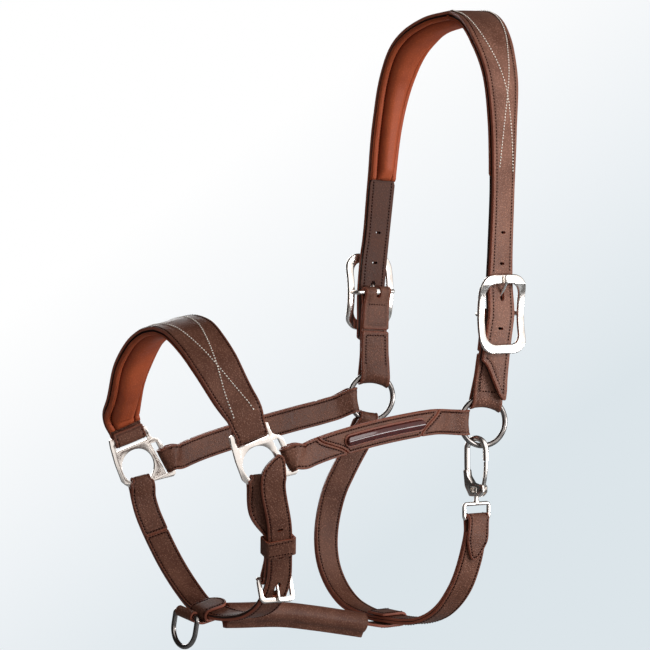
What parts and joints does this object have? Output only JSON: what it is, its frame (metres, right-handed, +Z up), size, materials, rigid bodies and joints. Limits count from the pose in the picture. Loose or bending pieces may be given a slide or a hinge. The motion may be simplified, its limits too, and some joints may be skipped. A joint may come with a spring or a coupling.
{
  "type": "halter",
  "caption": "Padded leather head halter with crown buckles, round cheek rings, cast nose fittings, an adjustable chin strap, a lead ring and a throat snap.",
  "frame": {"origin": "the poll seat, the underside of the crown pad at its highest place, midway between the two sides", "axes": "+Z up, -X toward the nose, -Y toward the near (left) side of the head, +Y toward the far side"},
  "size_m": [0.3266, 0.1927, 0.5027],
  "materials": {
    "brown": "pebbled, soft satin",
    "lining": "smooth, matt",
    "rust": "soft rust, matt",
    "patent": "maroon patent, high gloss",
    "foam": "open foam, hidden",
    "nickel": "polished nickel plate",
    "steel": "polished stainless steel",
    "spring": "plain steel pin"
  },
  "bodies": {
    "halter": {"cheekpiece_back_near": "brown", "cheekpiece_back_far": "brown", "cheekpiece_face_near": "brown", "cheekpiece_face_far": "brown", "cheekpiece_border_near": "rust", "cheekpiece_border_far": "rust", "cheekpiece_inlay_near": "patent", "cheekpiece_inlay_far": "patent", "chin_strap_outer": "brown", "chin_strap_lining": "lining", "chin_chape": "brown", "crown_outer": "brown", "crown_lining": "lining", "crown_pad_cover": "rust", "crown_foam": "foam", "crown_chape_near": "brown", "crown_chape_far": "brown", "jaw_loop_strap": "brown", "jaw_roll": "brown", "lead_ring_loop": "brown", "nose_fitting_near": "nickel", "nose_fitting_far": "nickel", "noseband_outer": "brown", "noseband_lining": "lining", "noseband_pad_cover": "rust", "noseband_foam": "foam", "throat_strap_outer": "brown", "throat_strap_lining": "brown"},
    "ring_near": {"cheek_ring_near": "steel"},
    "ring_far": {"cheek_ring_far": "steel"},
    "buckle_near": {"crown_buckle_near": "nickel"},
    "buckle_far": {"crown_buckle_far": "nickel"},
    "tongue_near": {"crown_tongue_near": "nickel"},
    "tongue_far": {"crown_tongue_far": "nickel"},
    "chin_frame": {"chin_buckle": "nickel"},
    "chin_prong": {"chin_tongue": "nickel"},
    "keeper": {"chin_keeper": "brown"},
    "lead_d": {"lead_ring": "steel"},
    "swivel_eye": {"snap_eye": "nickel"},
    "hook": {"snap_hook_body": "nickel", "snap_gate_pin": "spring"},
    "gate": {"snap_gate": "nickel"}
  },
  "joints": [
    {"name": "cheek_ring_near_turn", "type": "hinge", "parent": "halter", "child": "ring_near", "pos_m": [-0.041, -0.0756, -0.3146], "axis": [-0.2588, -0.9659, 0], "continuous": true},
    {"name": "cheek_ring_far_turn", "type": "hinge", "parent": "halter", "child": "ring_far", "pos_m": [-0.0393, 0.0756, -0.3033], "axis": [0.2588, 0.9659, 0], "continuous": true},
    {"name": "crown_buckle_near_rock", "type": "hinge", "parent": "halter", "child": "buckle_near", "pos_m": [-0.032, -0.07865, -0.2285], "axis": [1, 0, 0], "range_deg": [-1.5, 0.8]},
    {"name": "crown_buckle_far_rock", "type": "hinge", "parent": "halter", "child": "buckle_far", "pos_m": [-0.032, 0.07865, -0.2169], "axis": [-1, 0, 0], "range_deg": [-1.5, 1.5]},
    {"name": "crown_tongue_near_lift", "type": "hinge", "parent": "buckle_near", "child": "tongue_near", "pos_m": [-0.032, -0.07865, -0.2285], "axis": [1, 0, 0], "range_deg": [0, 3]},
    {"name": "crown_tongue_far_lift", "type": "hinge", "parent": "buckle_far", "child": "tongue_far", "pos_m": [-0.032, 0.07865, -0.2169], "axis": [-1, 0, 0], "range_deg": [0, 3]},
    {"name": "chin_buckle_rock", "type": "hinge", "parent": "halter", "child": "chin_frame", "pos_m": [-0.2346, -0.0612, -0.428], "axis": [-0.9713, 0.2359, -0.0287], "range_deg": [-1.5, 1.5]},
    {"name": "chin_tongue_lift", "type": "hinge", "parent": "chin_frame", "child": "chin_prong", "pos_m": [-0.2346, -0.0612, -0.428], "axis": [-0.9713, 0.2359, -0.0287], "range_deg": [0, 3]},
    {"name": "chin_keeper_slide", "type": "slide", "parent": "halter", "child": "keeper", "axis": [-0.1906, -0.2802, 0.9408], "range_m": [-0.003, 0.0012]},
    {"name": "lead_ring_swing", "type": "hinge", "parent": "halter", "child": "lead_d", "pos_m": [-0.27252, 0.00283, -0.45917], "axis": [0.0615, -0.9823, -0.1767], "range_deg": [-65, 50]},
    {"name": "snap_eye_swing", "type": "hinge", "parent": "halter", "child": "swivel_eye", "pos_m": [-0.04637, -0.07416, -0.39137], "axis": [1, 0, 0], "range_deg": [-1.5, 0]},
    {"name": "snap_swivel", "type": "hinge", "parent": "swivel_eye", "child": "hook", "pos_m": [-0.04637, -0.07416, -0.37277], "axis": [0, 0, 1], "range_deg": [-35, 1]},
    {"name": "snap_gate_open", "type": "hinge", "parent": "hook", "child": "gate", "pos_m": [-0.04431, -0.0798, -0.36827], "axis": [-0.9397, -0.342, 0], "range_deg": [0, 20], "stiffness_Nm_per_rad": 0.02}
  ]
}
